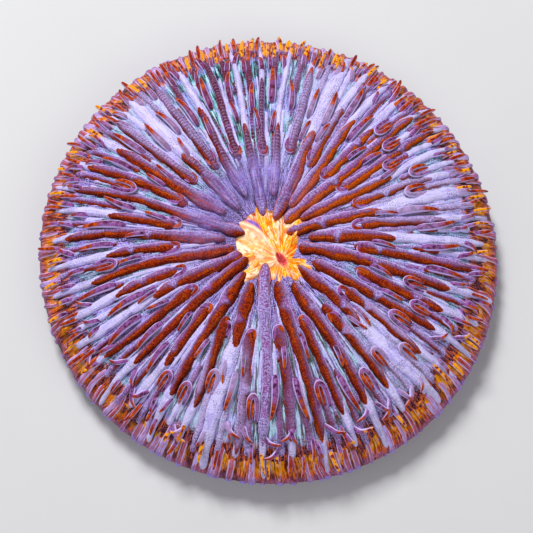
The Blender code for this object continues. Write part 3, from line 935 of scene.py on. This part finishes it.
def makeMouth():
    skin = Skin()
    turn = circle(mouth["columns"])[None, :]
    out = np.linspace(0.0, 1.0, mouth["rows"])[:, None]
    slitX, slitY = mouth["slit"]
    spread = sum(size * bell(np.degrees(turn), at, wide) for at, wide, size in mouth["spread"])
    reach = mouth["radius"] * (1 - 0.24 * bell(np.degrees(turn), 165.0, 40.0) + spread)
    x = slitX * (1 - out) + reach * out * np.cos(turn)
    y = slitY * (1 - out) + reach * out * np.sin(turn)
    gone = np.hypot(x - slitX, y - slitY)
    angle = np.arctan2(y - slitY, x - slitX)
    lay = math.radians(mouth["slitTurn"])
    u = (x - slitX) * math.cos(lay) + (y - slitY) * math.sin(lay)
    v = (y - slitY) * math.cos(lay) - (x - slitX) * math.sin(lay)
    slit = np.exp(-(u / 1.6) ** 2 - (v / 0.75) ** 2)
    ridge, when = nearPath(x, y, mouth["ridge"])
    crest = np.exp(-(ridge / 0.42) ** 2)
    broad = np.exp(-(ridge / 2.2) ** 2)
    left = rise(-0.4, 0.8, -(x * 0.66 + y * 0.75) + 0.4)  # the side of the long fold
    at = np.degrees(np.arctan2(y, x))
    left *= 1 - np.clip(1.6 * bell(at, 312.0, 20.0), 0, 1)
    lifted = np.clip(spread * 5, 0, 1) * rise(0.1, 0.4, out) * (1 - bell(at, 267.0, 10.0))
    folds = 0.5 + 0.5 * np.sin(19 * angle + 1.1 * np.sin(3 * angle) + 0.35 * gone)
    fine = latticeNoise(np.stack([angle * 6.0, gone * 0.5, 0 * gone], -1), 0.5, 4)
    puff = latticeNoise(np.stack([x, y, 0 * x], -1), 2.4, 8)
    floor = disc["crestHeight"] * mouth["floorHeight"]
    z = floor + 1.0 * broad + 0.55 * crest + 0.9 * (puff - 0.4) - 1.8 * slit
    z += 0.75 * (folds - 0.5) * rise(0.8, 2.4, gone) * (1 - 0.9 * left)
    z += 0.8 * (fine - 0.5) * (1 - 0.6 * left)
    z += 0.35 * np.exp(-((np.hypot(u / 1.5, v) - 1.0) / 0.4) ** 2)  # a low lip round the slit
    z += 2.0 * lifted - 1.6 * rise(0.8, 1.0, out)  # its edge is sunk between the ribs
    points = np.stack([x + disc["centre"][0], y + disc["centre"][1], z], -1)
    heat = rise(-0.2, 0.9, (x * 0.62 - y * 0.78) / 5.0) * (1 - left) * rise(0.0, 0.4, out)
    # painted shade: a lilac band on the shaded side of the long fold's outer part; the far upper-left of
    # the sheet gets the same lilac
    paintedShadeLilac = np.exp(-((ridge - 0.9) / 0.6) ** 2) * (1 - left) * fall(2.0, 2.8, when)
    film = rise(-7.0, -9.0, x - 0.4 * y) * 0.6
    values = {"fold": folds * 0.35 + 0.3 * (1 - heat), "ridge": crest, "peach": left * broad ** 0.3,
              "heat": heat, "slit": slit, "paintedShadeLilac": np.maximum(paintedShadeLilac, film), "along": gone,
              "across": angle * 3.2, "tint": 0.1}
    skin.add(points, values)
    turn = circle(mouth["tongueAround"])
    for start, middle, tip, fat in mouth["tongues"]:  # flat tongues that lie out between the ribs
        line = curveThrough([start, middle, tip], 7)
        line = np.column_stack([line, floor + 0.75 - 0.1 * np.arange(len(line)) / 7])
        part = np.linspace(0, 1, len(line))
        girth = fat * np.sqrt(np.clip(1 - np.clip((part - 0.55) / 0.46, 0, 1) ** 2, 0.02, 1))
        ahead = np.gradient(line, axis=0)
        ahead /= np.linalg.norm(ahead, axis=1, keepdims=True)
        aside = np.cross(ahead, (0.0, 0.0, 1.0))
        above = np.cross(aside, ahead)
        points = tube(line, aside, 0.45 * above, girth, turn)
        points[..., 2] += 0.25 * (latticeNoise(points, 0.8, 31) - 0.5)
        points += np.array([*disc["centre"], 0.0])
        values = {"fold": 0.2, "ridge": 0.0, "peach": 0.0, "heat": 0.7, "slit": 0.0, "paintedShadeLilac": 0.0,
                  "along": part[:, None] * 3, "across": np.cos(turn)[None, :], "tint": 0.6}
        skin.add(points, values, caps=True)
    skin.make("coralMouth", mouthPaint())


# Floor, lights and camera
studio = {
    "elevation": 78.0, "lens": 85.0, "frameWidth": 0.1134, "aim": (-0.0004, -0.0032, 0.0085),
    "floorSize": 4.0, "worldColour": (0.92, 0.92, 0.93, 1), "worldStrength": 0.16,
    # place in metres, size and watts of each light
    "lights": {"key": ((-0.12, 0.30, 0.48), 0.15, 3.0), "fill": ((0.30, -0.36, 0.42), 0.5, 1.05),
               "left": ((-0.45, -0.15, 0.35), 0.5, 0.4)},
}


def makeStudio():
    bpy.ops.mesh.primitive_plane_add(size=studio["floorSize"], location=(0, 0, 0))
    floor = bpy.context.object
    floor.name = "floor"
    paint = Paint("paleFloor")
    shade = paint.mix(paint.noise(40.0, 3.0), "floorDark", "floorLight")
    normal = paint.bump(paint.noise(2.0), 0.05, 0.1)
    floor.data.materials.append(paint.finish(shade, 0.7, normal, coat=0.0))
    for name, (place, size, power) in studio["lights"].items():
        light = bpy.data.objects.new(name, bpy.data.lights.new(name, "AREA"))
        light.data.energy, light.data.size = power, size
        light.location = place
        light.rotation_euler = (-Vector(place)).to_track_quat("-Z", "Y").to_euler()
        bpy.context.scene.collection.objects.link(light)
    world = bpy.data.worlds.new("studio")
    world.use_nodes = True
    sky = world.node_tree.nodes["Background"].inputs
    sky["Color"].default_value = studio["worldColour"]
    sky["Strength"].default_value = studio["worldStrength"]
    bpy.context.scene.world = world
    bpy.context.scene.view_settings.view_transform = "Standard"

    camera = bpy.data.objects.new("camera", bpy.data.cameras.new("camera"))
    camera.data.lens = studio["lens"]
    distance = studio["frameWidth"] * camera.data.lens / camera.data.sensor_width
    lean = math.radians(studio["elevation"])
    back = Vector((0.0, -math.cos(lean), math.sin(lean)))
    camera.location = Vector(studio["aim"]) + back * distance
    camera.rotation_euler = (-back).to_track_quat("-Z", "Y").to_euler()
    camera.data.clip_start = 0.01
    bpy.context.scene.collection.objects.link(camera)
    bpy.context.scene.camera = camera
    print("made the studio")


makeBody()
makeRibs()
makeTentacles()
makeRim()
makeMouth()
makeStudio()
